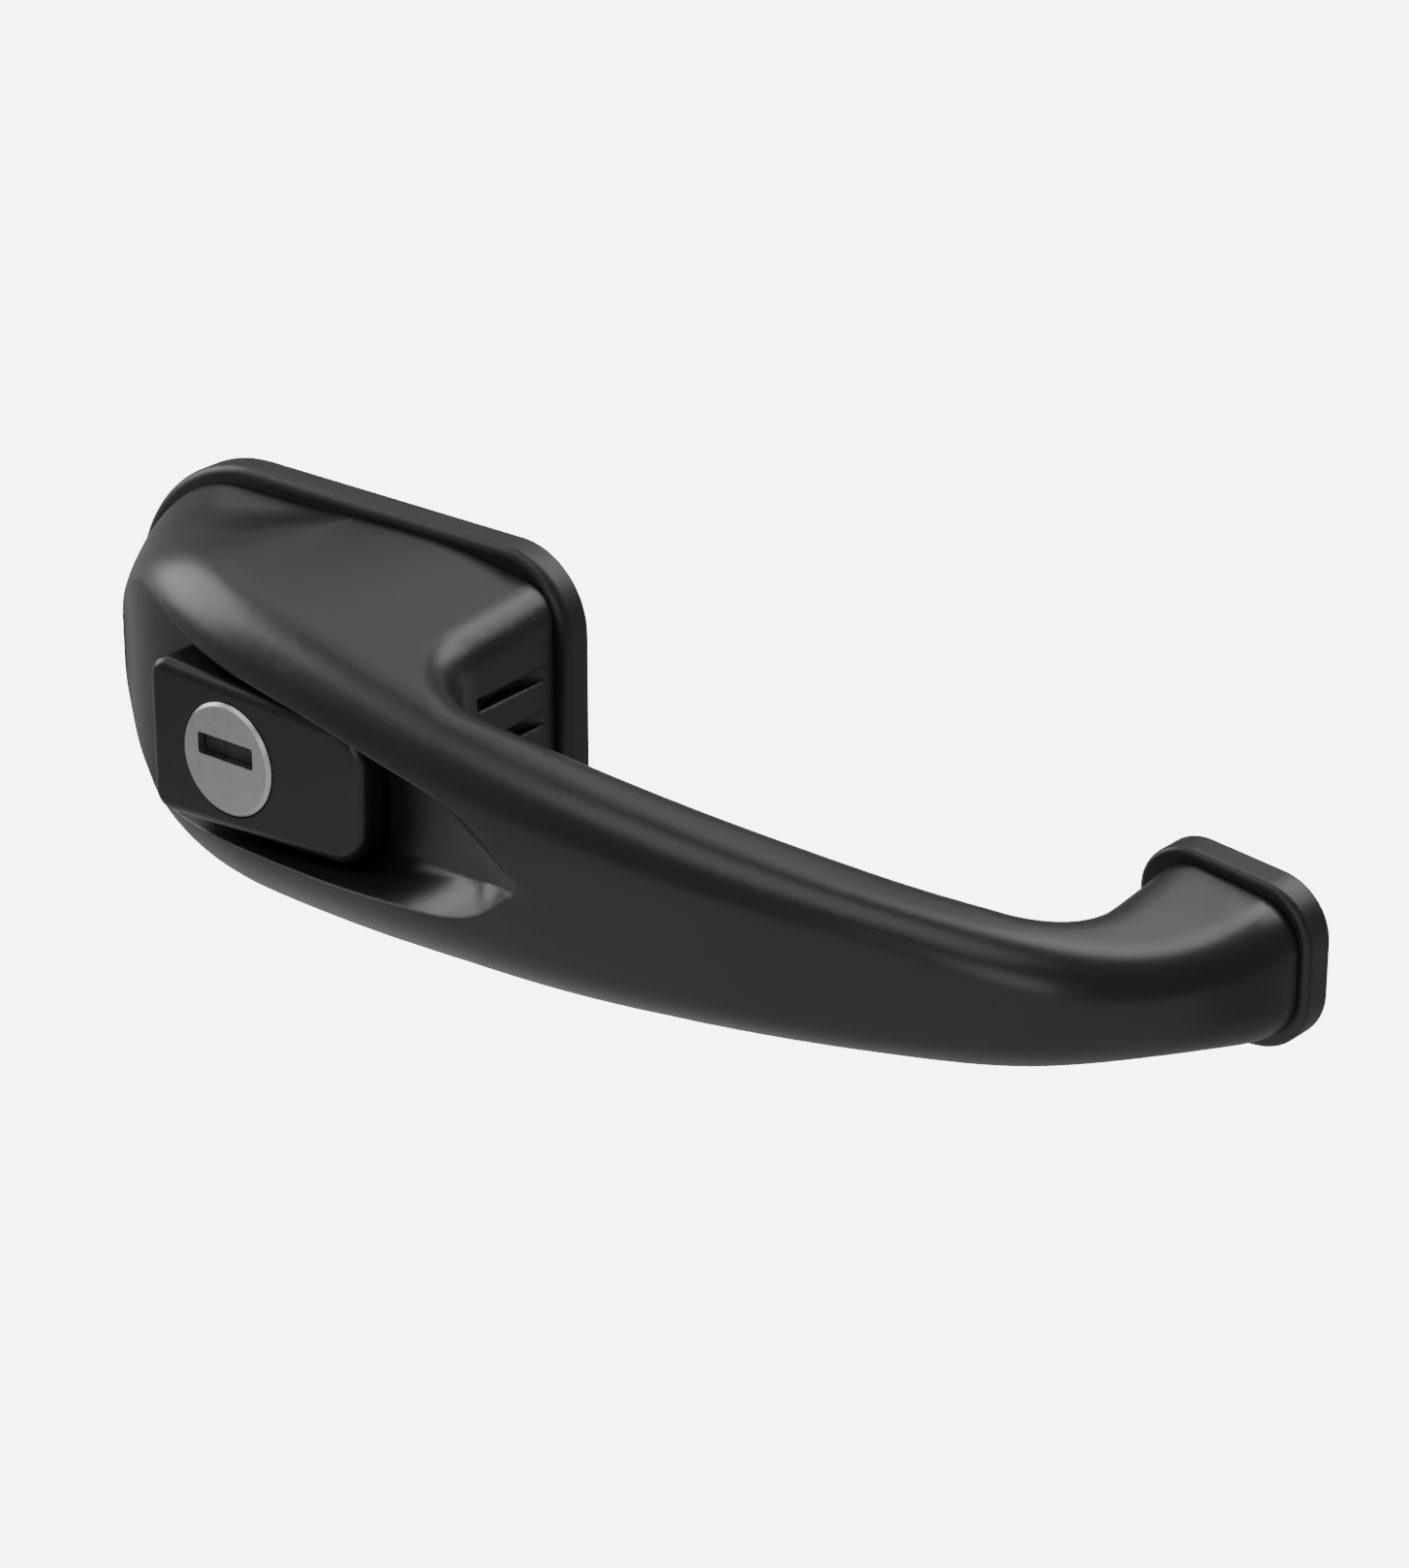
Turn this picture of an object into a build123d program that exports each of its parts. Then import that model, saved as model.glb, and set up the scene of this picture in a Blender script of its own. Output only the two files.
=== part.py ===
from build123d import *
from math import atan2, degrees
import os

# Locking pull handle for a door, with a push button and a key lock in its larger foot.
# Frame: the door's surface is the plane Y = 0 and the handle stands out of it towards -Y.
# The lock's axis is the Y axis, the arm runs along +X and +Z is up. All sizes are in millimetres.

# Gaskets between the feet and the door
gasket_thickness = 4.2
gasket_edge_radius = 1.5
large_overhang = 1.9
small_overhang = 1.2
small_rear_overhang = 2.4
small_side_overhang = 1.9
small_edge_radius = 0.9
gasket_screw_hole = 3.5

# Larger foot, measured from the lock's axis
foot_left = 46.4
foot_right = 25.95
foot_half_height = 21.05
foot_corner_radius = 8.6

# Skin of the hood, arm and leg
reach = 42.4
crown_x = 56.0
hood_narrowing = 1.2
hood_edge_radius = 9.0
arm_half_height = 14.0
arm_edge_radius = 6.5
neck_half_height = 9.3
neck_edge_radius = 5.0

# Leg that carries the smaller foot
leg_left = 117.0
leg_right = 136.85
leg_half_height = 7.8
leg_flare = 4.6
leg_edge_radius = 6.0

# Finger space behind the arm
arm_thickness = 13.6
foot_fillet = 11.0
leg_fillet = 9.0
arm_rear_drop = 7.8
groove_count = 4
groove_pitch = 5.9
groove_height = 1.9
groove_radius = 11.0
groove_depth = 2.3
groove_distance = 12.6

# Scoop round the button
scoop_depth = 8.4
scoop_tip_x = 53.5
scoop_fillet = 3.0

# Push button
button_recess = 6.15
button_depth = 7.2
button_left = 13.8
button_right = 22.6
button_left_wall = 1.5
button_right_wall = 0.2
button_left_corner = 2.6
button_right_corner = 5.0
button_edge_radius = 1.6
button_face_wall = 2.0
button_side_wall = 2.0
button_travel = 4.0
button_clearance = 0.4

# Hollow in the back of the larger foot, with its closing plate
cavity_depth = 10.3
cavity_wall = 4.2
cavity_left_corner = 14.0
plate_thickness = 1.5
plate_recess = 0.5
plate_clearance = 0.4
boss_radius = 3.3
boss_x = 15.2
boss_z = 12.4
screw_shank_radius = 1.25
screw_head_radius = 2.4
screw_head_height = 1.1
screw_length = 6.5

# Threaded inserts for the fixing screws
insert_radius = 4.0
insert_bore_radius = 2.5
insert_length = 8.0
insert_wall = 2.4
large_insert_x = -29.0
small_insert_x = 126.5

# Lock
barrel_radius = 9.0
barrel_wall = 2.4
slide_gap = 0.15
turn_gap = 0.05
cap_overlap = 0.9
cap_thickness = 1.2
cap_proud = 0.5
cap_chamfer = 0.45
slot_side = 1.9
slot_height = 2.9
slot_rise = 1.3
keyway_side = 1.0
keyway_height = 2.3
wafer_count = 5
wafer_pitch = 2.5
wafer_thickness = 1.0
wafer_side = 0.2
shutter_thickness = 0.45
shutter_knuckle = 0.62
shutter_pin_radius = 0.35
ring_thickness = 0.8
ring_reach = 2.0
seal_section_radius = 0.55
spring_wire_radius = 0.45
spring_turns = 2.5
tail_width = 7.0
tail_thickness = 2.4
tail_beyond_door = 14.0
cross_pin_radius = 0.75
pin_radius = 1.0

# Widths that follow from the barrel
plug_radius = barrel_radius - barrel_wall
cap_radius = plug_radius + cap_overlap
slot_width = 2 * (plug_radius - slot_side)
keyway_width = slot_width - 2 * keyway_side
wafer_width = slot_width - 2 * wafer_side
button_left_half = barrel_radius + button_left_wall
button_right_half = barrel_radius + button_right_wall

# Places along the lock's axis, as distances in front of the door
foot_back = gasket_thickness
arm_rear_depth = reach - arm_thickness
button_front = reach - button_recess
button_back = button_front - button_depth
pocket_floor = button_back - button_travel - button_clearance
cavity_floor = foot_back + cavity_depth
plate_back = foot_back + plate_recess
plate_front = plate_back + plate_thickness
ring_front = cavity_floor - 0.2
barrel_front = button_front - button_face_wall
barrel_back = ring_front - ring_thickness - 0.7
clip_front = barrel_back - 0.1
plug_back = clip_front - ring_thickness - 0.4
cap_front = button_front + cap_proud
plug_front = cap_front - cap_thickness
first_wafer = plug_front - 5.95
tail_front = plug_back + 4.0
tail_pin_distance = plug_back + 2.4
seal_distance = cavity_floor + 0.72 * (pocket_floor - cavity_floor)

# The wafers close up where a short plug leaves them less room in front of the tail
wafer_room = first_wafer - tail_front - wafer_thickness / 2 - 0.8
wafer_step = min(wafer_pitch, wafer_room / (wafer_count - 1))

# Seats of the two open rings, and the ends of the spring
ring_seat = barrel_radius - 0.7
clip_seat = plug_radius - 1.0
spring_small_radius = tail_width / 2 + 1.6 + spring_wire_radius
spring_large_radius = barrel_radius - 2 * spring_wire_radius - 0.2

upright = (Align.CENTER, Align.CENTER, Align.MIN)

os.makedirs("parts", exist_ok=True)


def out(distance):
    """The plane parallel to the door at this distance in front of it, facing away from the door."""
    return Plane.XZ.offset(distance)


def between(low, high, share):
    """The value at this share of the way from low to high."""
    return low + (high - low) * share


def taper_outline(sketch, left, right, left_half, right_half, left_corner, right_corner):
    """Four-sided outline, level or tapered, with its own corner radius at each end."""
    Polygon((left, -left_half), (right, -right_half), (right, right_half), (left, left_half), align=None)
    fillet(sketch.vertices().group_by(Axis.X)[-1], right_corner)
    fillet(sketch.vertices().group_by(Axis.X)[0], left_corner)


def rod(start, end, radius, x=0, z=0, mode=Mode.ADD):
    """Round rod square to the door, between two distances in front of it."""
    with Locations((x, -start, z)):
        Cylinder(radius, end - start, rotation=(90, 0, 0), align=(Align.CENTER, Align.CENTER, Align.MIN), mode=mode)


def block(start, end, width, height, x=0, z=0, mode=Mode.ADD):
    """Block square to the door, between two distances in front of it, centred on x and z."""
    with Locations((x, -start, z)):
        Box(width, end - start, height, align=(Align.CENTER, Align.MAX, Align.CENTER), mode=mode)


def skin_at(x):
    """Distance of the hood's and arm's skin from the door at this place along X."""
    for near, far in zip(stations, stations[1:]):
        if near[0] <= x <= far[0]:
            return between(near[1], far[1], (x - near[0]) / (far[0] - near[0]))


def button_half(x):
    """Half height of the push button at this place along X."""
    return between(button_left_half, button_right_half, (x + button_left) / (button_left + button_right))


def finish(piece, name):
    """Label a finished piece and write it to its own file."""
    piece.part.label = name
    export_step(piece.part, f"parts/{name}.step")


# Stations along the skin: place along X, distance from the door, half height at the skin,
# half height at the door and the radius that rounds the skin's edges
fan_radius = 2.0
fan_left = -6.0
fan_right = 104.0
foot_flat = 0.85
rear_edge_radius = min(0.39 * arm_thickness, 0.59 * leg_fillet)
stations = [
    (-foot_left, foot_back - fan_radius, foot_half_height, foot_half_height, foot_half_height - foot_flat)
]
for share, drop, narrowing, edge_radius in (
    (0.125, 29.8, 3.2, 16.5),
    (0.335, 20.6, 3.0, 14.0),
    (0.64, 13.4, 0.8, 10.5),
    (1.0, 8.0, hood_narrowing, hood_edge_radius),
):
    stations.append(
        (
            between(-foot_left, fan_left, share),
            reach - drop,
            foot_half_height - narrowing,
            foot_half_height,
            edge_radius,
        )
    )
for share, drop, rear_share in ((0.25, 4.75, 0.0), (0.5, 2.4, 0.3), (0.75, 0.75, 0.75), (1.0, 0.0, 1.0)):
    stations.append(
        (
            between(fan_left, crown_x, share),
            reach - drop,
            between(foot_half_height - hood_narrowing, arm_half_height, share),
            between(foot_half_height, arm_half_height, rear_share),
            between(hood_edge_radius, arm_edge_radius, share),
        )
    )
leg_rear_half = leg_half_height + leg_flare
for share, drop in ((0.33, 0.6), (0.67, 2.5), (1.0, 5.8)):
    stations.append(
        (
            between(crown_x, fan_right, share),
            reach - drop,
            between(arm_half_height, neck_half_height, share),
            between(arm_half_height, neck_half_height, share),
            between(arm_edge_radius, neck_edge_radius, share),
        )
    )
for back, drop, narrowing, rear_narrowing in (
    (17.5, 10.4, 0.6, 0.0),
    (5.85, 20.4, 2.0, -0.8),
    (1.35, 29.9, 0.9, 0.0),
    (0.0, reach - foot_back + fan_radius, 0.0, 0.0),
):
    stations.append(
        (
            leg_right - back,
            reach - drop,
            leg_half_height - narrowing,
            leg_rear_half - rear_narrowing,
            leg_edge_radius,
        )
    )

with BuildPart() as handle_body:
    # The skin turns like a fan about two upright lines, one behind the hood and one behind the arm's end
    for x, distance, half_front, half_rear, edge_radius in stations:
        pivot = Vector(min(max(x, fan_left), fan_right), fan_radius - foot_back)
        heading = (Vector(x, -distance) - pivot).normalized()
        rear = pivot + heading * fan_radius
        length = (Vector(x, -distance) - rear).length
        with BuildSketch(Plane(origin=rear, x_dir=heading, z_dir=heading.cross(Vector(0, 0, 1)))) as section:
            with BuildLine():
                Polyline((0, -half_rear), (length, -half_front), (length, half_front), (0, half_rear), close=True)
            make_face()
            fillet(section.vertices().group_by(Axis.X)[-1], edge_radius)
    loft()
    # Both feet end flat where their gaskets begin
    with BuildSketch(out(foot_back)):
        Rectangle(4 * leg_right, 4 * foot_half_height)
    extrude(amount=-2 * fan_radius, mode=Mode.SUBTRACT)
    # Finger space behind the arm
    foot_corner = (foot_right + 1.35, -arm_rear_depth - 0.6)
    leg_corner = (leg_left - 0.4, arm_rear_drop - arm_rear_depth)
    with BuildSketch() as finger_space:
        with BuildLine():
            Line((foot_right, 0), foot_corner)
            ThreePointArc(foot_corner, (between(foot_right, leg_left, 0.5), -arm_rear_depth), leg_corner)
            Polyline(leg_corner, (leg_left, 0), (foot_right, 0))
        make_face()
        fillet(finger_space.vertices().sort_by_distance(foot_corner)[0], foot_fillet)
        fillet(finger_space.vertices().sort_by_distance(leg_corner)[0], leg_fillet)
    extrude(amount=2 * foot_half_height, both=True, mode=Mode.SUBTRACT)
    walls = handle_body.faces().filter_by(
        lambda face: face.geom_type == GeomType.CYLINDER or abs(face.normal_at(face.center()).X) > 0.9
    )
    fillet(walls.edges().filter_by(lambda edge: abs(edge.center().Z) > 3), rear_edge_radius)
    # Grip grooves across the foot's wall, each left by a flat round cutter
    wall_x = between(foot_right, foot_corner[0], groove_distance / -foot_corner[1])
    for index in range(groove_count):
        groove_z = groove_pitch * (index - (groove_count - 1) / 2)
        with Locations((wall_x + groove_radius - groove_depth, -groove_distance, groove_z)):
            Cylinder(groove_radius, groove_height, mode=Mode.SUBTRACT)
    # Scoop that lays the button open and runs out in the arm
    tip = scoop_tip_x
    scoop = [
        (-0.82 * foot_left, -0.6, button_left_half + 5.5, 16.0),
        (-0.58 * foot_left, 1.5, button_left_half + 3.0, 8.1),
        (-button_left, scoop_depth - 4.1, button_left_half + 1.7, 2.1),
        (0, scoop_depth - 1.4, button_half(0) + 1.4, 0.6),
        (0.6 * button_right, scoop_depth - 0.2, button_half(0.6 * button_right) + 0.9, 0.6),
        (button_right + 2.4, scoop_depth - 0.6, button_right_half - 0.6, 1.5),
        (between(button_right, tip, 0.45), scoop_depth - 3.1, 0.5 * button_right_half, 5.6),
        (between(button_right, tip, 0.72), scoop_depth - 5.7, 0.24 * button_right_half, 8.1),
        (tip, -0.3, 0.07 * button_right_half, 4.0),
    ]
    for x, depth, floor_half, lean in scoop:
        floor = depth - skin_at(x)
        lip = -skin_at(x) - 3
        with BuildSketch(Plane.YZ.offset(x)) as section:
            Polygon(
                (floor, -floor_half),
                (lip, -floor_half - lean),
                (lip, floor_half + lean),
                (floor, floor_half),
                align=None,
            )
            fillet(section.vertices().group_by(Axis.X)[-1], min(scoop_fillet, 0.5 * floor_half))
    loft(mode=Mode.SUBTRACT)
    # Pocket that the button slides in
    with BuildSketch(out(pocket_floor)) as pocket:
        taper_outline(
            pocket,
            -button_left - button_clearance,
            button_right + button_clearance,
            button_left_half + button_clearance,
            button_right_half + button_clearance,
            button_left_corner,
            button_right_corner,
        )
    extrude(amount=reach - pocket_floor, mode=Mode.SUBTRACT)
    # Hollow in the back of the foot, with bosses for the plate's screws and for a threaded insert
    cavity_half = foot_half_height - cavity_wall
    cavity_right = foot_right - cavity_wall
    with BuildSketch(out(foot_back)) as cavity:
        taper_outline(
            cavity, cavity_wall + 5.7 - foot_left, cavity_right, cavity_half, cavity_half, cavity_left_corner, 4
        )
    extrude(amount=cavity_depth, mode=Mode.SUBTRACT)
    rod(foot_back, cavity_floor + 1, insert_radius + insert_wall, large_insert_x)
    for x in (-boss_x, boss_x):
        for z in (-boss_z, boss_z):
            rod(plate_front, cavity_floor + 1, boss_radius, x, z)
            rod(plate_front, plate_front + screw_length, screw_shank_radius + 0.05, x, z, Mode.SUBTRACT)
    for x in (large_insert_x, small_insert_x):
        rod(foot_back, foot_back + insert_length, insert_radius, x, 0, Mode.SUBTRACT)
    rod(cavity_floor - 1, pocket_floor + 1, barrel_radius + slide_gap, mode=Mode.SUBTRACT)
finish(handle_body, "handle_body")

with BuildPart() as large_gasket:
    with BuildSketch(out(0)) as rim:
        half = foot_half_height + large_overhang
        taper_outline(
            rim,
            -foot_left - large_overhang,
            foot_right + large_overhang,
            half,
            half,
            half - foot_flat,
            foot_corner_radius + large_overhang,
        )
    extrude(amount=gasket_thickness)
    fillet(large_gasket.faces().sort_by(Axis.Y)[0].edges(), gasket_edge_radius)
    with BuildSketch(out(0)) as window:
        taper_outline(window, -boss_x - boss_radius - 2.5, cavity_right, cavity_half, cavity_half, 3, 4)
    extrude(amount=gasket_thickness, mode=Mode.SUBTRACT)
    rod(0, gasket_thickness, gasket_screw_hole, large_insert_x, 0, Mode.SUBTRACT)
finish(large_gasket, "large_gasket")

with BuildPart() as small_gasket:
    with BuildSketch(out(0)) as rim:
        taper_outline(
            rim,
            leg_left - small_rear_overhang,
            leg_right + small_overhang,
            between(leg_half_height, leg_rear_half, 0.7) + small_overhang,
            leg_half_height + small_side_overhang,
            rear_edge_radius + small_overhang,
            leg_edge_radius + small_overhang,
        )
    extrude(amount=gasket_thickness)
    fillet(small_gasket.faces().sort_by(Axis.Y)[0].edges(), small_edge_radius)
    rod(0, gasket_thickness, gasket_screw_hole, small_insert_x, 0, Mode.SUBTRACT)
finish(small_gasket, "small_gasket")

# Brass inserts, each with a groove that keys it into the moulding
for name, x in (("large_foot_insert", large_insert_x), ("small_foot_insert", small_insert_x)):
    with BuildPart() as insert:
        rod(foot_back, foot_back + insert_length, insert_radius, x)
        middle = foot_back + insert_length / 2
        rod(middle - 0.8, middle + 0.8, insert_radius + 1, x, 0, Mode.SUBTRACT)
        rod(middle - 1, middle + 1, insert_radius - 0.5, x)
        rod(foot_back, foot_back + insert_length, insert_bore_radius, x, 0, Mode.SUBTRACT)
    finish(insert, name)

plate_left = boss_x + boss_radius + 1.5
with BuildPart() as back_plate:
    with BuildSketch(out(plate_back)) as plate:
        plate_half = cavity_half - plate_clearance
        taper_outline(plate, -plate_left, cavity_right - plate_clearance, plate_half, plate_half, 3, 4)
        Circle(tail_width / 2 + 0.8, mode=Mode.SUBTRACT)
        with GridLocations(2 * boss_x, 2 * boss_z, 2, 2):
            Circle(screw_shank_radius + 0.3, mode=Mode.SUBTRACT)
    extrude(amount=plate_thickness)
    # Raised rim that centres the return spring
    rod(plate_front, plate_front + 0.8, tail_width / 2 + 1.6)
    rod(plate_front, plate_front + 0.8, tail_width / 2 + 0.8, mode=Mode.SUBTRACT)
finish(back_plate, "back_plate")

with BuildPart() as plate_screws:
    for x in (-boss_x, boss_x):
        for z in (-boss_z, boss_z):
            rod(plate_back - screw_head_height, plate_back, screw_head_radius, x, z)
            rod(plate_back, plate_back + screw_length, screw_shank_radius, x, z)
            block(plate_back - screw_head_height, plate_back - 0.4, 2.8, 0.6, x, z, Mode.SUBTRACT)
            block(plate_back - screw_head_height, plate_back - 0.4, 0.6, 2.8, x, z, Mode.SUBTRACT)
finish(plate_screws, "plate_screws")

# Push button: a capped shell round the front of the lock barrel
pin_distance = between(button_back, barrel_front, 0.45)
pin_x = between(plug_radius, barrel_radius, 0.5)
pin_end = button_half(pin_x) - 1.2
with BuildPart() as push_button:
    with BuildSketch(out(button_back)) as face:
        taper_outline(
            face,
            -button_left,
            button_right,
            button_left_half,
            button_right_half,
            button_left_corner,
            button_right_corner,
        )
    extrude(amount=button_depth)
    fillet(push_button.faces().sort_by(Axis.Y)[0].edges(), button_edge_radius)
    rod(button_back, barrel_front, barrel_radius, mode=Mode.SUBTRACT)
    rod(barrel_front, button_front, cap_radius + 0.15, mode=Mode.SUBTRACT)
    # Core that keeps the thicker end of the moulding even in wall
    core_left = barrel_radius + button_side_wall
    core_right = button_right - button_side_wall
    core_height = 2 * (button_right_half - button_side_wall)
    block(
        button_back,
        barrel_front,
        core_right - core_left,
        core_height,
        between(core_left, core_right, 0.5),
        0,
        Mode.SUBTRACT,
    )
    with Locations((pin_x, -pin_distance, -button_half(pin_x))):
        Cylinder(pin_radius, 2 * button_half(pin_x) - 1.2, align=upright, mode=Mode.SUBTRACT)
finish(push_button, "push_button")

with BuildPart() as lock_barrel:
    rod(barrel_back, barrel_front, barrel_radius)
    # Grooves for the sealing ring and for the stop ring
    seal_groove = barrel_radius + slide_gap - 2 * seal_section_radius
    for start, end, floor in (
        (seal_distance - 0.8, seal_distance + 0.8, seal_groove),
        (ring_front - ring_thickness, ring_front, ring_seat),
    ):
        rod(start, end, barrel_radius + 1, mode=Mode.SUBTRACT)
        rod(start - 0.2, end + 0.2, floor)
    rod(barrel_back, barrel_front, plug_radius + turn_gap, mode=Mode.SUBTRACT)
    # Broached channels above and below the plug, that the wafers drop into when the key is drawn
    channel_back = first_wafer - (wafer_count - 1) * wafer_step - 1.5
    block(channel_back, first_wafer + 1.5, wafer_width + 0.4, 2 * plug_radius + 1.6, mode=Mode.SUBTRACT)
    with Locations((pin_x, -pin_distance, -barrel_radius)):
        Cylinder(pin_radius, 2 * barrel_radius, align=upright, mode=Mode.SUBTRACT)
finish(lock_barrel, "lock_barrel")

with BuildPart() as barrel_pin:
    with Locations((pin_x, -pin_distance, -button_half(pin_x))):
        Cylinder(pin_radius, 2 * button_half(pin_x) - 1.6, align=upright)
        Cylinder(0.5 * pin_radius, 2 * button_half(pin_x) - 1.6, align=upright, mode=Mode.SUBTRACT)
finish(barrel_pin, "barrel_pin")

with BuildPart() as seal_ring:
    with Locations((0, -seal_distance, 0)):
        Torus(seal_groove + seal_section_radius, seal_section_radius, rotation=(90, 0, 0))
finish(seal_ring, "seal_ring")

# Open ring that stops the button at the front of its stroke
with BuildPart() as stop_ring:
    rod(ring_front - ring_thickness, ring_front, barrel_radius + ring_reach)
    rod(ring_front - ring_thickness, ring_front, ring_seat, mode=Mode.SUBTRACT)
    block(ring_front - ring_thickness, ring_front, ring_seat, 2 * barrel_radius, 0, -barrel_radius, Mode.SUBTRACT)
finish(stop_ring, "stop_ring")

# Return spring: a cone of round wire from the plate's rim to the back of the barrel
spring_start = plate_front + spring_wire_radius
spring_height = barrel_back - plate_front - 2 * spring_wire_radius
with BuildPart() as return_spring:
    with BuildLine() as coil:
        Helix(
            pitch=spring_height / spring_turns,
            height=spring_height,
            radius=spring_small_radius,
            center=(0, -spring_start, 0),
            direction=(0, -1, 0),
            cone_angle=degrees(atan2(spring_large_radius - spring_small_radius, spring_height)),
        )
    with BuildSketch(Plane(origin=coil.line @ 0, z_dir=coil.line % 0)):
        Circle(spring_wire_radius)
    sweep(is_frenet=True)
finish(return_spring, "return_spring")

# Lock plug with its keyway, wafer slots, shutter chamber and tail slot
hinge_distance = plug_front - 0.15 - shutter_knuckle
hinge_z = slot_rise + slot_height / 2 + 0.3
chamber_top = hinge_z + shutter_knuckle + 0.15
chamber_bottom = slot_rise - slot_height / 2 - 0.3
pin_half = slot_width / 2 + 0.7
with BuildPart() as lock_plug:
    rod(plug_back, plug_front, plug_radius)
    rod(clip_front - ring_thickness, clip_front, plug_radius + 1, mode=Mode.SUBTRACT)
    rod(clip_front - ring_thickness - 0.2, clip_front + 0.2, clip_seat)
    block(
        hinge_distance - slot_height - 0.9,
        plug_front,
        slot_width + 0.3,
        chamber_top - chamber_bottom,
        0,
        between(chamber_bottom, chamber_top, 0.5),
        Mode.SUBTRACT,
    )
    block(channel_back - 1, plug_front, keyway_width, keyway_height, 0, slot_rise, Mode.SUBTRACT)
    for index in range(wafer_count):
        middle = first_wafer - index * wafer_step
        half = wafer_thickness / 2 + 0.05
        block(middle - half, middle + half, wafer_width + 0.1, 2 * plug_radius, mode=Mode.SUBTRACT)
    block(plug_back, tail_front, tail_width + 0.1, tail_thickness + 0.1, mode=Mode.SUBTRACT)
    with Locations((-pin_half, -hinge_distance, hinge_z)):
        Cylinder(shutter_pin_radius, 2 * pin_half, rotation=(0, 90, 0), align=upright, mode=Mode.SUBTRACT)
    with Locations((0, -tail_pin_distance, -plug_radius)):
        Cylinder(cross_pin_radius, 2 * plug_radius, align=upright, mode=Mode.SUBTRACT)
finish(lock_plug, "lock_plug")

# Pressed cap that dresses the plug's face, with a skirt crimped round the plug
with BuildPart() as plug_cap:
    rod(barrel_front + 0.1, cap_front, cap_radius)
    chamfer(plug_cap.edges().sort_by(Axis.Y)[0], cap_chamfer)
    rod(barrel_front + 0.1, plug_front, plug_radius, mode=Mode.SUBTRACT)
    with BuildSketch(out(plug_front)):
        with Locations((0, slot_rise)):
            RectangleRounded(slot_width, slot_height, 0.35)
    extrude(amount=cap_thickness, mode=Mode.SUBTRACT)
finish(plug_cap, "plug_cap")

# Sprung flap that closes the keyway from behind
with BuildPart() as keyway_shutter:
    plate_bottom = slot_rise - slot_height / 2 - 0.1
    block(
        plug_front - 0.1 - shutter_thickness,
        plug_front - 0.1,
        slot_width,
        hinge_z - plate_bottom,
        0,
        between(plate_bottom, hinge_z, 0.5),
    )
    with Locations((-slot_width / 2, -hinge_distance, hinge_z)):
        Cylinder(shutter_knuckle, slot_width, rotation=(0, 90, 0), align=upright)
        Cylinder(shutter_pin_radius + 0.06, slot_width, rotation=(0, 90, 0), align=upright, mode=Mode.SUBTRACT)
finish(keyway_shutter, "keyway_shutter")

with BuildPart() as shutter_pin:
    with Locations((-pin_half, -hinge_distance, hinge_z)):
        Cylinder(shutter_pin_radius, 2 * pin_half, rotation=(0, 90, 0), align=upright)
finish(shutter_pin, "shutter_pin")

# Wafers, each with its key window cut at its own height
for index, step in zip(range(wafer_count), (0.3, -0.25, 0.1, -0.3, 0.2)):
    middle = first_wafer - index * wafer_step
    with BuildPart() as wafer:
        with BuildSketch(out(middle - wafer_thickness / 2)):
            Circle(plug_radius - 0.1)
            Rectangle(wafer_width, 2 * plug_radius, mode=Mode.INTERSECT)
            with Locations((0, slot_rise + step)):
                Rectangle(keyway_width, keyway_height + 0.7, mode=Mode.SUBTRACT)
        extrude(amount=wafer_thickness)
    finish(wafer, f"wafer_{index + 1}")

# Open clip that holds the plug in the barrel
with BuildPart() as plug_clip:
    rod(clip_front - ring_thickness, clip_front, plug_radius + 0.5)
    rod(clip_front - ring_thickness, clip_front, clip_seat, mode=Mode.SUBTRACT)
    block(clip_front - ring_thickness, clip_front, clip_seat, 2 * plug_radius, 0, -plug_radius, Mode.SUBTRACT)
finish(plug_clip, "plug_clip")

# Flat bar that the plug turns, reaching through the door to the latch
with BuildPart() as tail_bar:
    block(-tail_beyond_door, tail_front, tail_width, tail_thickness)
    chamfer(tail_bar.faces().sort_by(Axis.Y)[-1].edges().filter_by(Axis.Z), 1.2)
    with Locations((0, -tail_pin_distance, -tail_thickness)):
        Cylinder(cross_pin_radius, 2 * tail_thickness, align=upright, mode=Mode.SUBTRACT)
finish(tail_bar, "tail_bar")

with BuildPart() as tail_pin:
    with Locations((0, -tail_pin_distance, 0.2 - plug_radius)):
        Cylinder(cross_pin_radius, 2 * plug_radius - 0.4, align=upright)
finish(tail_pin, "tail_pin")
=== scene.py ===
# %% [markdown]
# # A locking pull handle
# This lesson dresses a black moulded door handle with a push button and a key lock. The main shapes come
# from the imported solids. Blender adds the finishes, the wound spring, the screw threads, the light and the
# camera.

# %% Load the handle's solids
import bpy
import bmesh
import math
from mathutils import Matrix, Vector


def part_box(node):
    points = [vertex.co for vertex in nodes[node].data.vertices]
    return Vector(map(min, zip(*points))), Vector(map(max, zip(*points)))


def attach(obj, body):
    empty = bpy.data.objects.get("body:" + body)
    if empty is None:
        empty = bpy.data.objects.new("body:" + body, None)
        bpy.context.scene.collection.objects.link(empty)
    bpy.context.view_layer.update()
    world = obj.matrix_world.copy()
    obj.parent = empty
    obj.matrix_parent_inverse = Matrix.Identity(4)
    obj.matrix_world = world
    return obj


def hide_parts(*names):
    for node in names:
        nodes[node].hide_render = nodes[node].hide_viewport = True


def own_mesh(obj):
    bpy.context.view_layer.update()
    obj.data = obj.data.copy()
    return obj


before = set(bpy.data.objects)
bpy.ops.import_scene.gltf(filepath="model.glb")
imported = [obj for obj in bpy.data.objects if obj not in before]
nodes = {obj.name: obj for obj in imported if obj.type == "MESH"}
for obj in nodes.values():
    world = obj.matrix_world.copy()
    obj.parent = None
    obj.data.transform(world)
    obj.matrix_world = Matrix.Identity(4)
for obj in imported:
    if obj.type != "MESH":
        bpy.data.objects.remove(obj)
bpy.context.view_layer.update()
MM = 0.001
print("pieces loaded:", len(nodes))

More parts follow.
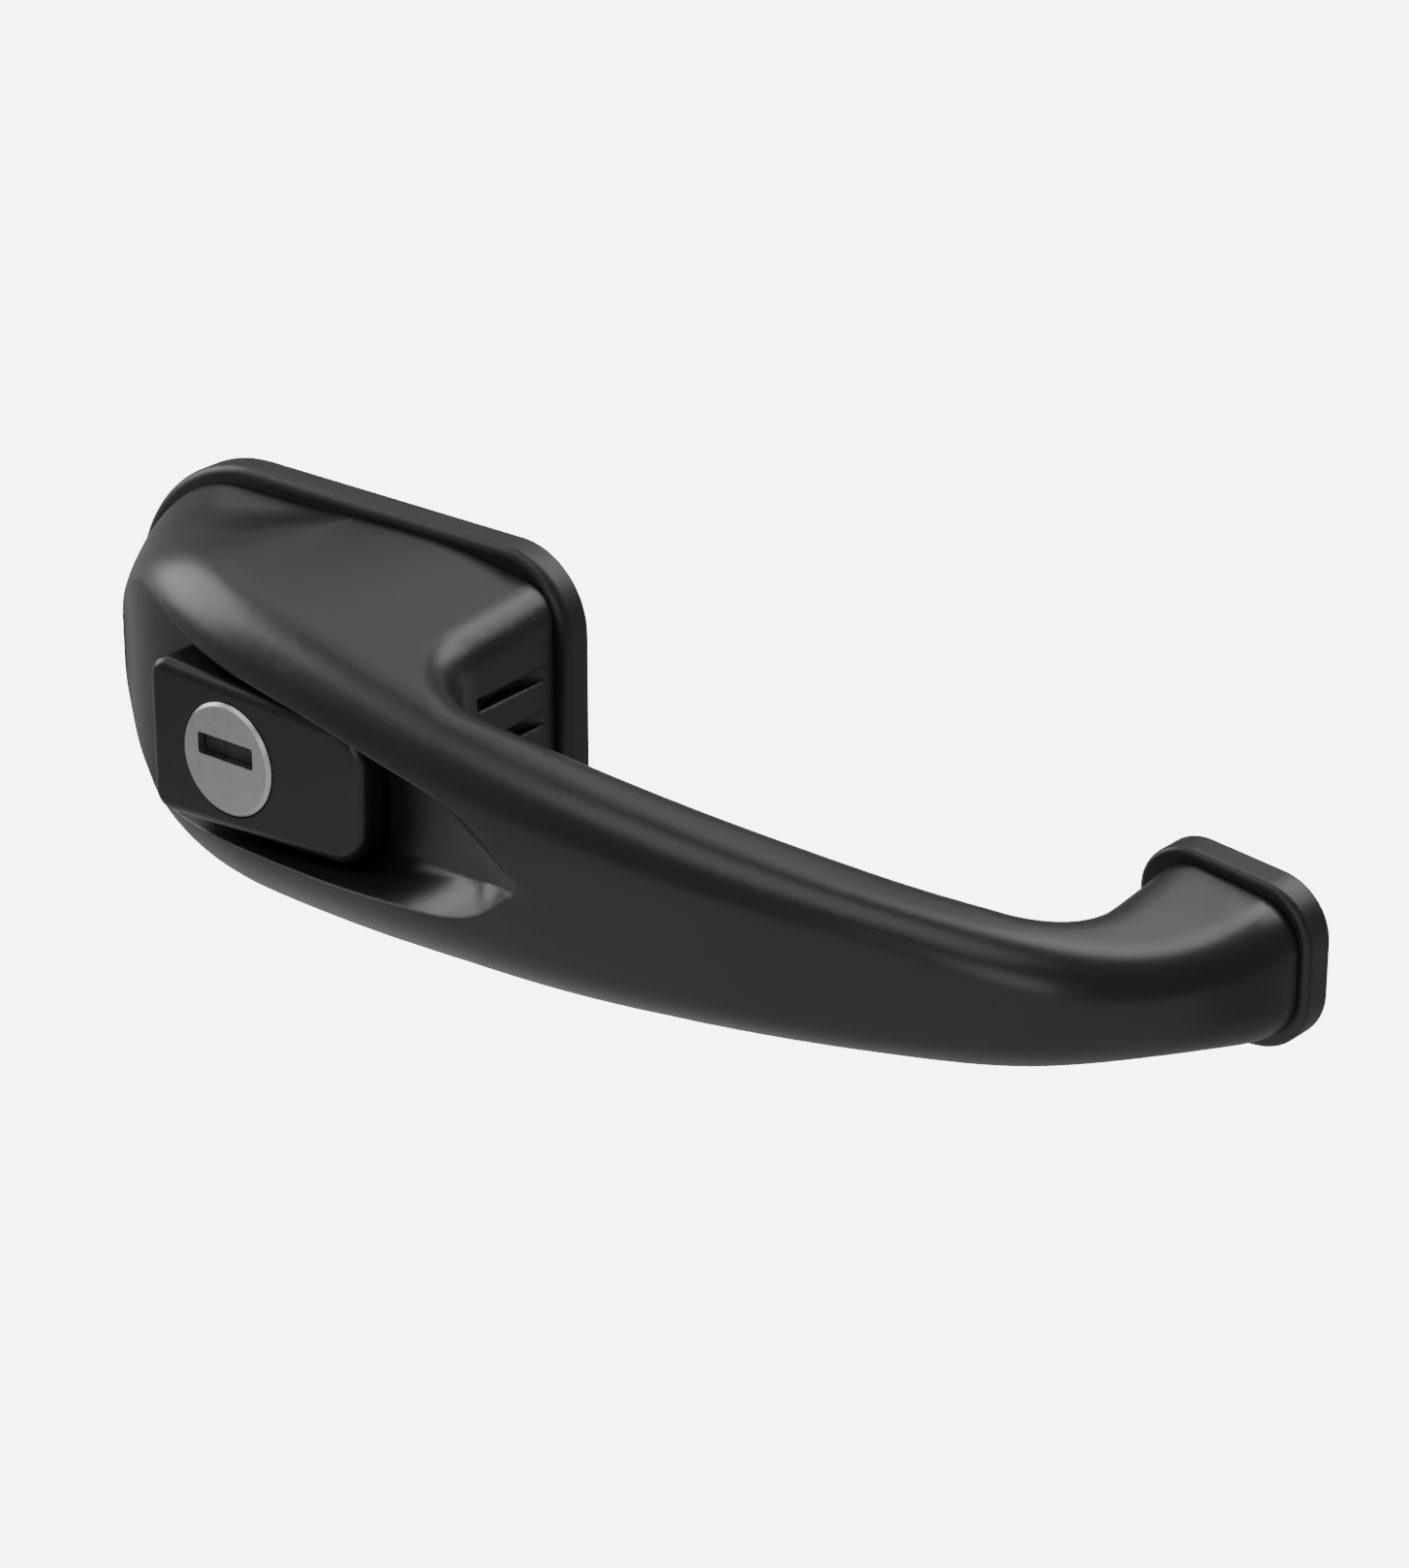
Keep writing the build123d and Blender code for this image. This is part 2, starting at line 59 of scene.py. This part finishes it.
# %% [markdown]
# ## Camera
# The handle is seen from in front, from above and from the smaller foot's side, through a long lens that
# keeps its lines nearly parallel. The camera could aim at a target with a constraint, but a rotation made
# from three directions is exact and leaves nothing to follow.

# %% Place the camera
camera_data = bpy.data.cameras.new("front_camera")
camera = bpy.data.objects.new("front_camera", camera_data)
bpy.context.scene.collection.objects.link(camera)
right = Vector((0.77273, 0.63473, 0.0))
up = Vector((-0.25564, 0.31122, 0.91531))
back = Vector((0.58098, -0.70729, 0.40275))
stand = Vector((406.305, -437.718, 246.645)) * MM
turn = Matrix((right, up, back)).transposed().to_4x4()
camera.matrix_world = Matrix.Translation(stand) @ turn
film_width = 36.0
image_height = 1618
focal_pixels = 5150
camera_data.sensor_width = film_width
camera_data.lens = film_width * focal_pixels / image_height
camera_data.clip_start = 0.01
bpy.context.scene.camera = camera
print("lens in mm:", round(camera_data.lens, 1))

# %% [markdown]
# ## Floor
# Small black mouldings are photographed over a white sheet that is lit by lamps of its own. Lamps that
# bright would also wash out the black plastic, so the sheet glows brightly only for the camera's own rays,
# which the Light Path node picks out. For every other ray the paper has a weak painted glow of its own, a
# painted pool of light that throws a little light up at the handle.


# %% Lay the floor
def glow_for_camera(tree, socket, glow, other_rays):
    """A strength that the camera sees at one level and all other rays at another."""
    path = tree.nodes.new("ShaderNodeLightPath")
    level = tree.nodes.new("ShaderNodeMapRange")
    level.inputs["To Min"].default_value = other_rays
    level.inputs["To Max"].default_value = glow
    tree.links.new(path.outputs["Is Camera Ray"], level.inputs["Value"])
    tree.links.new(level.outputs["Result"], socket)
    return level


floor_height = -75 * MM
sheet_half_width = 3.0
sheet_middle = (0.05, 0.6, floor_height)
sheet_glow = 6.5
floor_mesh = bpy.data.meshes.new("white_sheet")
sheet = bmesh.new()
bmesh.ops.create_grid(sheet, x_segments=8, y_segments=8, size=sheet_half_width)
bmesh.ops.translate(sheet, verts=sheet.verts, vec=sheet_middle)
sheet.to_mesh(floor_mesh)
sheet.free()
floor = bpy.data.objects.new("white_sheet", floor_mesh)
bpy.context.scene.collection.objects.link(floor)
print("floor lies at mm:", floor_height / MM)

# %% [markdown]
# ## Light
# Black plastic shows its lamps more than its colour, so each lit stretch of the handle has a soft box where
# its mirror image falls. The edge box, behind on the left, and the front box draw the long highlight down
# the arm. The bend box lights the turn between hood and finger space, the leg box the leg's top, and the
# hood box the hood's left end. The low box in front keeps the button's face from going dead. One large lamp
# would be simpler, but it would grey the whole moulding. The faces between the boxes mirror only dim air.


# %% Hang the soft boxes
def soft_box(name, direction, width, height, watts):
    """A rectangular soft box, hung in a direction from the handle's middle and turned to it."""
    middle = Vector((0.045, -0.02, 0.0))
    distance = 0.9
    data = bpy.data.lights.new(name, "AREA")
    data.shape = "RECTANGLE"
    data.size = width
    data.size_y = height
    data.energy = watts
    lamp = bpy.data.objects.new(name, data)
    away = Vector(direction).normalized()
    lamp.location = middle + away * distance
    lamp.rotation_euler = (-away).to_track_quat("-Z", "Y").to_euler()
    bpy.context.scene.collection.objects.link(lamp)


soft_box("edge_box", (-0.52, 0.48, 0.71), width=0.6, height=0.5, watts=0.8)
soft_box("front_box", (-0.16, -0.44, 0.88), width=0.8, height=0.5, watts=2.2)
soft_box("bend_box", (0.20, 0.74, 0.64), width=0.6, height=0.5, watts=3.2)
soft_box("leg_box", (0.0, 0.42, 0.91), width=0.5, height=0.4, watts=2.4)
soft_box("hood_box", (-0.92, -0.05, 0.39), width=0.5, height=0.6, watts=3.4)
soft_box("low_box", (0.33, -0.91, 0.26), width=0.5, height=0.4, watts=1.2)

# %% Fill the studio with dim air
WHITE = (1.0, 1.0, 1.0, 1.0)
air_bounce = 0.24
world = bpy.data.worlds.new("studio_air")
world.use_nodes = True
air = world.node_tree.nodes["Background"]
air.inputs["Color"].default_value = WHITE
glow_for_camera(world.node_tree, air.inputs["Strength"], sheet_glow, air_bounce)
bpy.context.scene.world = world
print("world:", world.name)

# %% [markdown]
# ## Smooth shading for the solids
# The solids arrive as loose flat triangles. They could be remeshed, but that would blur the crisp crest of
# the scoop. A small geometry node tree joins the triangles, shades them smooth and keeps an edge sharp only
# where its two faces meet at a clear angle. The flat-faced pieces then let their large faces lead the
# shading, but the body's curved skin is left even, because there the large triangles would put ripples in
# a highlight.


# %% Build the smoothing tree
def smoothing_tree(join_distance, sharp_angle):
    """Joins loose triangles and smooths all but the sharp edges."""
    tree = bpy.data.node_groups.new("smooth_moulding", "GeometryNodeTree")
    tree.interface.new_socket("Geometry", in_out="INPUT", socket_type="NodeSocketGeometry")
    tree.interface.new_socket("Geometry", in_out="OUTPUT", socket_type="NodeSocketGeometry")
    entry = tree.nodes.new("NodeGroupInput")
    leave = tree.nodes.new("NodeGroupOutput")
    merge = tree.nodes.new("GeometryNodeMergeByDistance")
    merge.inputs["Distance"].default_value = join_distance
    faces = tree.nodes.new("GeometryNodeSetShadeSmooth")
    faces.domain = "FACE"
    faces.inputs["Shade Smooth"].default_value = True
    edges = tree.nodes.new("GeometryNodeSetShadeSmooth")
    edges.domain = "EDGE"
    angle = tree.nodes.new("GeometryNodeInputMeshEdgeAngle")
    gentle = tree.nodes.new("FunctionNodeCompare")
    gentle.operation = "LESS_THAN"
    gentle.inputs["B"].default_value = sharp_angle
    tree.links.new(entry.outputs["Geometry"], merge.inputs["Geometry"])
    tree.links.new(merge.outputs["Geometry"], faces.inputs["Geometry"])
    tree.links.new(faces.outputs["Geometry"], edges.inputs["Geometry"])
    tree.links.new(angle.outputs["Unsigned Angle"], gentle.inputs["A"])
    tree.links.new(gentle.outputs["Result"], edges.inputs["Shade Smooth"])
    tree.links.new(edges.outputs["Geometry"], leave.inputs["Geometry"])
    return tree


smooth_moulding = smoothing_tree(0.002 * MM, math.radians(28))
for label, piece in nodes.items():
    modifier = piece.modifiers.new("smooth_moulding", "NODES")
    modifier.node_group = smooth_moulding
    if label != "handle_body":
        weighted = piece.modifiers.new("even_normals", "WEIGHTED_NORMAL")
        weighted.keep_sharp = True
print("smoothed pieces:", len(nodes))

# %% [markdown]
# ## Shared effects
# A moulded plastic copies the eroded skin of its mould, a metal keeps the marks of its rolls and brushes,
# and everything that is handled varies a little in shine. Each effect could be painted as an image. As node
# groups they have no seams, and each finish places them with its own scale.

# %% Helpers for shader groups
FLOAT = "NodeSocketFloat"
VECTOR = "NodeSocketVector"


def effect_group(name, inputs, outputs):
    """An empty shader group with named sockets; returns the tree, its entry and its exit."""
    tree = bpy.data.node_groups.new(name, "ShaderNodeTree")
    for label, kind in inputs:
        tree.interface.new_socket(label, in_out="INPUT", socket_type=kind)
    for label, kind in outputs:
        tree.interface.new_socket(label, in_out="OUTPUT", socket_type=kind)
    return tree, tree.nodes.new("NodeGroupInput"), tree.nodes.new("NodeGroupOutput")


def noise(tree, vector, detail, roughness):
    """A noise texture on a vector."""
    made = tree.nodes.new("ShaderNodeTexNoise")
    made.inputs["Detail"].default_value = detail
    made.inputs["Roughness"].default_value = roughness
    tree.links.new(vector, made.inputs["Vector"])
    return made


def math_node(tree, operation, first, second):
    """A math node on two sockets or numbers."""
    made = tree.nodes.new("ShaderNodeMath")
    made.operation = operation
    for socket, value in zip(made.inputs, (first, second)):
        if isinstance(value, (int, float)):
            socket.default_value = value
        else:
            tree.links.new(value, socket)
    return made.outputs[0]


# %% [markdown]
# ### The mould's eroded skin
# Spark erosion leaves a steel mould covered with fine pits, and the plastic shows them as a soft grain. One
# noise would look like fog, so rounded Voronoi cells give the pits and a noise breaks them up. A much larger
# noise lets the shine drift over the piece.

# %% Build the grain
pit_share = 0.6
cloud_scale = 0.7
drift_scale = 0.02
grain, entry, leave = effect_group(
    "eroded_grain", [("Vector", VECTOR), ("Scale", FLOAT)], [("Height", FLOAT), ("Mottle", FLOAT)]
)
pits = grain.nodes.new("ShaderNodeTexVoronoi")
pits.feature = "SMOOTH_F1"
grain.links.new(entry.outputs["Vector"], pits.inputs["Vector"])
grain.links.new(entry.outputs["Scale"], pits.inputs["Scale"])
cloud = noise(grain, entry.outputs["Vector"], detail=3.0, roughness=0.6)
finer = math_node(grain, "MULTIPLY", entry.outputs["Scale"], cloud_scale)
grain.links.new(finer, cloud.inputs["Scale"])
drift = noise(grain, entry.outputs["Vector"], detail=2.0, roughness=0.5)
broader = math_node(grain, "MULTIPLY", entry.outputs["Scale"], drift_scale)
grain.links.new(broader, drift.inputs["Scale"])
pit_depth = math_node(grain, "MULTIPLY", pits.outputs["Distance"], pit_share)
grain.links.new(math_node(grain, "ADD", pit_depth, cloud.outputs[0]), leave.inputs["Height"])
grain.links.new(drift.outputs[0], leave.inputs["Mottle"])
print("effect:", grain.name)

# %% [markdown]
# ### The lines of a brushed or rolled metal
# Rolls and brushes leave fine lines that run one way. A wave texture would repeat, so a noise is stretched
# along the handle's length, and a broad noise adds the patches where the plating is duller.

# %% Build the lines
line_stretch = (0.03, 1.0, 1.0)
stroke_share = 0.6
patch_scale = 0.06
tone_gain = 0.62
lines, entry, leave = effect_group(
    "brushed_lines", [("Vector", VECTOR), ("Scale", FLOAT)], [("Height", FLOAT), ("Tone", FLOAT)]
)
stretch = lines.nodes.new("ShaderNodeVectorMath")
stretch.operation = "MULTIPLY"
stretch.inputs[1].default_value = line_stretch
lines.links.new(entry.outputs["Vector"], stretch.inputs[0])
strokes = noise(lines, stretch.outputs["Vector"], detail=4.0, roughness=0.65)
lines.links.new(entry.outputs["Scale"], strokes.inputs["Scale"])
patches = noise(lines, entry.outputs["Vector"], detail=2.0, roughness=0.5)
broader = math_node(lines, "MULTIPLY", entry.outputs["Scale"], patch_scale)
lines.links.new(broader, patches.inputs["Scale"])
faint = math_node(lines, "MULTIPLY", strokes.outputs[0], stroke_share)
tone = math_node(lines, "ADD", faint, patches.outputs[0])
lines.links.new(strokes.outputs[0], leave.inputs["Height"])
lines.links.new(math_node(lines, "MULTIPLY", tone, tone_gain), leave.inputs["Tone"])
print("effect:", lines.name)

# %% [markdown]
# ### The soft line of a moulded or tumbled edge
# No real edge is perfectly sharp. A Bevel modifier would change the solids, so the Bevel shader node bends
# only the normal next to an edge. It is noisy on gently curved faces, so the plain normal is kept wherever
# the two hardly differ.

# %% Build the edges
edges, entry, leave = effect_group("rounded_edges", [("Radius", FLOAT)], [("Normal", VECTOR)])
edge_samples = 6
same_normal = 0.99
bent_normal = 0.95
bevel = edges.nodes.new("ShaderNodeBevel")
bevel.samples = edge_samples
plain = edges.nodes.new("ShaderNodeNewGeometry")
bend = edges.nodes.new("ShaderNodeVectorMath")
bend.operation = "DOT_PRODUCT"
share = edges.nodes.new("ShaderNodeMapRange")
share.inputs["From Min"].default_value = same_normal
share.inputs["From Max"].default_value = bent_normal
choice = edges.nodes.new("ShaderNodeMix")
choice.data_type = "VECTOR"
# A Mix node has sockets for every kind of data; these are the vector ones.
factor, plain_side, bent_side = (choice.inputs[i] for i in (0, 4, 5))
mixed = choice.outputs[1]
edges.links.new(entry.outputs["Radius"], bevel.inputs["Radius"])
edges.links.new(bevel.outputs["Normal"], bend.inputs[0])
edges.links.new(plain.outputs["Normal"], bend.inputs[1])
edges.links.new(bend.outputs["Value"], share.inputs["Value"])
edges.links.new(share.outputs["Result"], factor)
edges.links.new(plain.outputs["Normal"], plain_side)
edges.links.new(bevel.outputs["Normal"], bent_side)
edges.links.new(mixed, leave.inputs["Normal"])
print("effect:", edges.name)

# %% [markdown]
# ## Finishes
# Every finish is one Principled shader with an effect group behind it. The group's values are spread over a
# small range of colour and shine, and its height gives a shallow bump, because a real surface is never even.

# %% A helper for finishes
effect_low, effect_high = 0.3, 0.7
relief_height = 0.05 * MM


def finish(name, effect, scale, dark, light, shine, bump, edge, metallic=0.0, specular=0.5):
    """A material with an effect spread over two colours and a range of roughness."""
    made = bpy.data.materials.new(name)
    made.use_nodes = True
    tree = made.node_tree
    shader = tree.nodes["Principled BSDF"]
    shader.inputs["Metallic"].default_value = metallic
    shader.inputs["Specular IOR Level"].default_value = specular
    coordinates = tree.nodes.new("ShaderNodeTexCoord")
    group = tree.nodes.new("ShaderNodeGroup")
    group.node_tree = effect
    group.inputs["Scale"].default_value = scale
    tree.links.new(coordinates.outputs["Object"], group.inputs["Vector"])
    height, variation = group.outputs
    ramp = tree.nodes.new("ShaderNodeValToRGB")
    stops = ramp.color_ramp.elements
    for stop, position, colour in zip(stops, (effect_low, effect_high), (dark, light)):
        stop.position = position
        stop.color = (*colour, 1.0)
    tree.links.new(variation, ramp.inputs["Fac"])
    tree.links.new(ramp.outputs["Color"], shader.inputs["Base Color"])
    spread = tree.nodes.new("ShaderNodeMapRange")
    spread.inputs["From Min"].default_value = effect_low
    spread.inputs["From Max"].default_value = effect_high
    spread.inputs["To Min"].default_value = shine[0]
    spread.inputs["To Max"].default_value = shine[1]
    tree.links.new(variation, spread.inputs["Value"])
    tree.links.new(spread.outputs["Result"], shader.inputs["Roughness"])
    rounding = tree.nodes.new("ShaderNodeGroup")
    rounding.node_tree = edges
    rounding.inputs["Radius"].default_value = edge
    relief = tree.nodes.new("ShaderNodeBump")
    relief.inputs["Strength"].default_value = bump
    relief.inputs["Distance"].default_value = relief_height
    tree.links.new(height, relief.inputs["Height"])
    tree.links.new(rounding.outputs["Normal"], relief.inputs["Normal"])
    tree.links.new(relief.outputs["Normal"], shader.inputs["Normal"])
    return made


def coat(material, *names):
    """Give a material to CAD nodes."""
    for label in names:
        nodes[label].data.materials.clear()
        nodes[label].data.materials.append(material)
    print(material.name, "on", len(names))


# %% [markdown]
# ### Plastics and rubber
# The body and the button are a satin black plastic with a fine grain, and the gaskets are a duller rubber.
# A pure black would swallow the shape, so the colours stay a little above it, with a trace of blue.

# %% Coat the mouldings and the rubber
plastic_dark = (0.008, 0.008, 0.0085)
plastic_light = (0.010, 0.010, 0.0105)
plastic_shine = (0.30, 0.34)
black_moulding = finish(
    "black_moulding", grain, 3600, plastic_dark, plastic_light, plastic_shine, bump=0.08, edge=0.8 * MM
)
coat(black_moulding, "handle_body")
button_moulding = finish(
    "button_moulding",
    grain,
    5200,
    plastic_dark,
    plastic_light,
    plastic_shine,
    bump=0.05,
    edge=0.5 * MM,
    specular=0.45,
)
coat(button_moulding, "push_button")
rubber_dark = (0.009, 0.009, 0.009)
rubber_light = (0.013, 0.013, 0.013)
gasket_rubber = finish(
    "gasket_rubber", grain, 6400, rubber_dark, rubber_light, (0.40, 0.46), bump=0.10, edge=0.5 * MM
)
coat(gasket_rubber, "large_gasket", "small_gasket", "seal_ring")

# %% [markdown]
# ### Metals
# The lock's cap is satin stainless steel. Its shutter is coloured very dark as painted shade, standing for
# the shade inside the keyway; its barrel and plug are die-cast zinc, and the hidden pieces are plated or
# spring steel and brass. One metal with a tint would be shorter, but each is made in its own way, and so has
# its own scale of lines and range of shine.


# %% Coat the metals
def metal(name, effect, scale, dark, light, shine, bump, edge, *names):
    """A metallic finish on some CAD nodes."""
    made = finish(name, effect, scale, dark, light, shine, bump, edge, metallic=1.0)
    coat(made, *names)
    return made


cap_dark, cap_light = (0.44, 0.44, 0.44), (0.50, 0.50, 0.50)
metal("satin_cap", lines, 9000, cap_dark, cap_light, (0.28, 0.34), 0.05, 0.2 * MM, "plug_cap")
# The shutter's very dark colour is painted shade, standing for the shade inside the keyway.
shutter_shade_dark, shutter_shade_light = (0.05, 0.05, 0.05), (0.09, 0.09, 0.09)
metal("shutter_painted_shade", lines, 9000, shutter_shade_dark, shutter_shade_light, (0.4, 0.55), 0.2, 0.1 * MM, "keyway_shutter")
cast_dark, cast_light = (0.38, 0.39, 0.4), (0.46, 0.47, 0.48)
cast_pieces = ("lock_barrel", "lock_plug")
metal("lock_zinc", grain, 2400, cast_dark, cast_light, (0.35, 0.5), 0.12, 0.2 * MM, *cast_pieces)
plate_dark, plate_light = (0.5, 0.51, 0.53), (0.66, 0.67, 0.68)
plated_pieces = ("back_plate", "plate_screws", "tail_bar")
metal("zinc_steel", lines, 5200, plate_dark, plate_light, (0.22, 0.34), 0.06, 0.2 * MM, *plated_pieces)
steel_dark, steel_light = (0.3, 0.31, 0.33), (0.46, 0.47, 0.49)
steel_pieces = ("barrel_pin", "stop_ring", "return_spring", "shutter_pin", "plug_clip", "tail_pin")
spring_steel = metal(
    "spring_steel", lines, 7000, steel_dark, steel_light, (0.25, 0.36), 0.06, 0.1 * MM, *steel_pieces
)
turned_dark, turned_light = (0.6, 0.42, 0.18), (0.72, 0.53, 0.27)
insert_pieces = ("large_foot_insert", "small_foot_insert")
insert_brass = metal(
    "insert_brass", lines, 6000, turned_dark, turned_light, (0.22, 0.34), 0.08, 0.15 * MM, *insert_pieces
)
stamped_dark, stamped_light = (0.58, 0.43, 0.2), (0.7, 0.55, 0.29)
wafer_pieces = [f"wafer_{i}" for i in range(1, 6)]
metal("wafer_brass", lines, 8000, stamped_dark, stamped_light, (0.25, 0.38), 0.08, 0.1 * MM, *wafer_pieces)

# %% [markdown]
# ### Paper with a painted glow
# For every ray but the camera's, the sheet gives a painted glow, a painted pool of light strongest in front
# of the handle, where a lamp would stand, and fading to the left and behind the feet. That painted glow
# gives the soft glow along the arm's lower edge and leaves the walls behind it dark. A second lamp from
# below would need a gap in the floor, so the fade is painted into the paper itself.

# %% Coat the floor
paper_dark, paper_light = (0.18, 0.18, 0.18), (0.20, 0.20, 0.20)
# The paper's painted glow for all rays but the camera's: a base level, plus a painted pool of light in front
# of the handle that fades to the left and behind.
painted_glow_far = 0.12
painted_glow_rise = 0.42
glow_left_fade = (-0.16, -0.02)
glow_rear_fade = (0.04, -0.05)
white_paper = finish("white_paper", grain, 400, paper_dark, paper_light, (0.75, 0.85), bump=0.02, edge=0.0)
paper = white_paper.node_tree
paper_shader = paper.nodes["Principled BSDF"]
paper_shader.inputs["Emission Color"].default_value = WHITE
level = glow_for_camera(paper, paper_shader.inputs["Emission Strength"], sheet_glow, painted_glow_far)
spot = paper.nodes.new("ShaderNodeTexCoord")
parts = paper.nodes.new("ShaderNodeSeparateXYZ")
paper.links.new(spot.outputs["Object"], parts.inputs["Vector"])
glow_fades = []
for axis, (dim_end, lit_end) in (("X", glow_left_fade), ("Y", glow_rear_fade)):
    fade = paper.nodes.new("ShaderNodeMapRange")
    fade.interpolation_type = "SMOOTHSTEP"
    fade.inputs["From Min"].default_value = dim_end
    fade.inputs["From Max"].default_value = lit_end
    paper.links.new(parts.outputs[axis], fade.inputs["Value"])
    glow_fades.append(fade.outputs["Result"])
glow_pool = math_node(paper, "MULTIPLY", math_node(paper, "MULTIPLY", *glow_fades), painted_glow_rise)
paper.links.new(math_node(paper, "ADD", glow_pool, painted_glow_far), level.inputs["To Min"])
floor.data.materials.append(white_paper)
print("finishes:", sorted(m.name for m in bpy.data.materials))

# %% [markdown]
# ## Return spring
# Behind the lock a bell of spring wire pushes the button out again. Its solid is a plain cone, because the
# simulation only needs its place. It could be a curve with a round bevel, but the spin operator winds it as
# a spring maker does: a ring of wire turns about the lock's axis, and at each step it climbs and moves
# outwards. The first turn widens from the plate's rim, and the rest go straight up, so that the lock's clip
# can sink inside them. On the real handle the spring is squashed towards the plate as the button goes in.


# %% Helpers for wound pieces
def face_order(face):
    """A number that sorts faces by their last and first vertex, as spin leaves them in no fixed order."""
    more_than_any_index = 10000
    indices = [vert.index for vert in face.verts]
    return max(indices) * more_than_any_index + min(indices)


def wound(sides, radius, turn, start, stages):
    """A ring of some sides, spun about Y from a start in stages of climb, widening, turns and steps.

    Each stage starts from the last ring of the one before. Rings and faces are sorted, so that every run
    gives the same mesh.
    """
    made = bmesh.new()
    place = Matrix.Translation(Vector(start)) @ Matrix.Rotation(math.radians(turn), 4, "Z")
    section = bmesh.ops.create_circle(made, segments=sides, radius=radius, matrix=place)
    last = section["verts"] + made.edges[:]
    for climb, widen, turns, steps in stages:
        spun = bmesh.ops.spin(
            made,
            geom=last,
            cent=(0, 0, 0),
            axis=(0, 1, 0),
            dvec=(widen / steps, climb / steps, 0),
            angle=math.tau * turns,
            steps=steps,
        )
        made.verts.index_update()
        made.edges.index_update()
        last = sorted(spun["geom_last"], key=lambda part: (isinstance(part, bmesh.types.BMEdge), part.index))
    bmesh.ops.holes_fill(made, edges=[edge for edge in made.edges if edge.is_boundary])
    bmesh.ops.recalc_face_normals(made, faces=made.faces)
    made.verts.index_update()
    made.faces.sort(key=face_order)
    return made


def piece_of(name, made, material, body):
    """A finished piece from a bmesh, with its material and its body."""
    mesh = bpy.data.meshes.new(name)
    made.to_mesh(mesh)
    made.free()
    mesh.materials.append(material)
    finished = bpy.data.objects.new(name, mesh)
    bpy.context.scene.collection.objects.link(finished)
    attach(finished, body)
    return finished


# %% Wind the spring
spring_low, spring_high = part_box("return_spring")
wire_sides = 14
wire_radius = 0.45 * MM
small_end = 5.55 * MM
large_end = 7.9 * MM
spring_length = spring_high[1] - spring_low[1]
seat_climb = 1.5 * MM
straight_climb = spring_length - 2 * wire_radius - seat_climb
straight_turns = 1.75
steps_per_turn = 60
bell = (-seat_climb, large_end - small_end, 1, steps_per_turn)
straight = (-straight_climb, 0, straight_turns, round(straight_turns * steps_per_turn))
seat = (small_end, spring_high[1] - wire_radius, 0)
coil = wound(wire_sides, wire_radius, 0, seat, [bell, straight])
for face in coil.faces:
    face.smooth = True
spring = piece_of("wound_spring", coil, spring_steel, "handle")
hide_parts("return_spring")
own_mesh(spring)
print("spring length in mm:", round(spring_length / MM, 2))

# %% [markdown]
# ## Screw threads
# The brass inserts take the fixing screws, so their bores are tapped. A thread could be a bump on the bore,
# but it shows from behind, so it is a ridge of its own: a three-sided section wound up the bore by the same
# spin.

# %% Tap the inserts
pitch = 0.8 * MM
ridge = 0.36 * MM
ridge_sides = 3
ridge_turn = 90
ridge_steps = 240
ridge_middle = 2.5 * MM - 0.4 * ridge
for label in ("large_foot_insert", "small_foot_insert"):
    low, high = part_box(label)
    thread_length = high[1] - low[1] - 2 * pitch
    climb = (-thread_length, 0, thread_length / pitch, ridge_steps)
    thread = wound(ridge_sides, ridge, ridge_turn, (ridge_middle, high[1] - pitch, 0), [climb])
    foot_middle = (low[0] + high[0]) / 2
    bmesh.ops.translate(thread, verts=thread.verts, vec=(foot_middle, 0, 0))
    piece_of(f"{label}_thread", thread, insert_brass, "handle")
    print(label, "thread in mm:", round(thread_length / MM, 2))
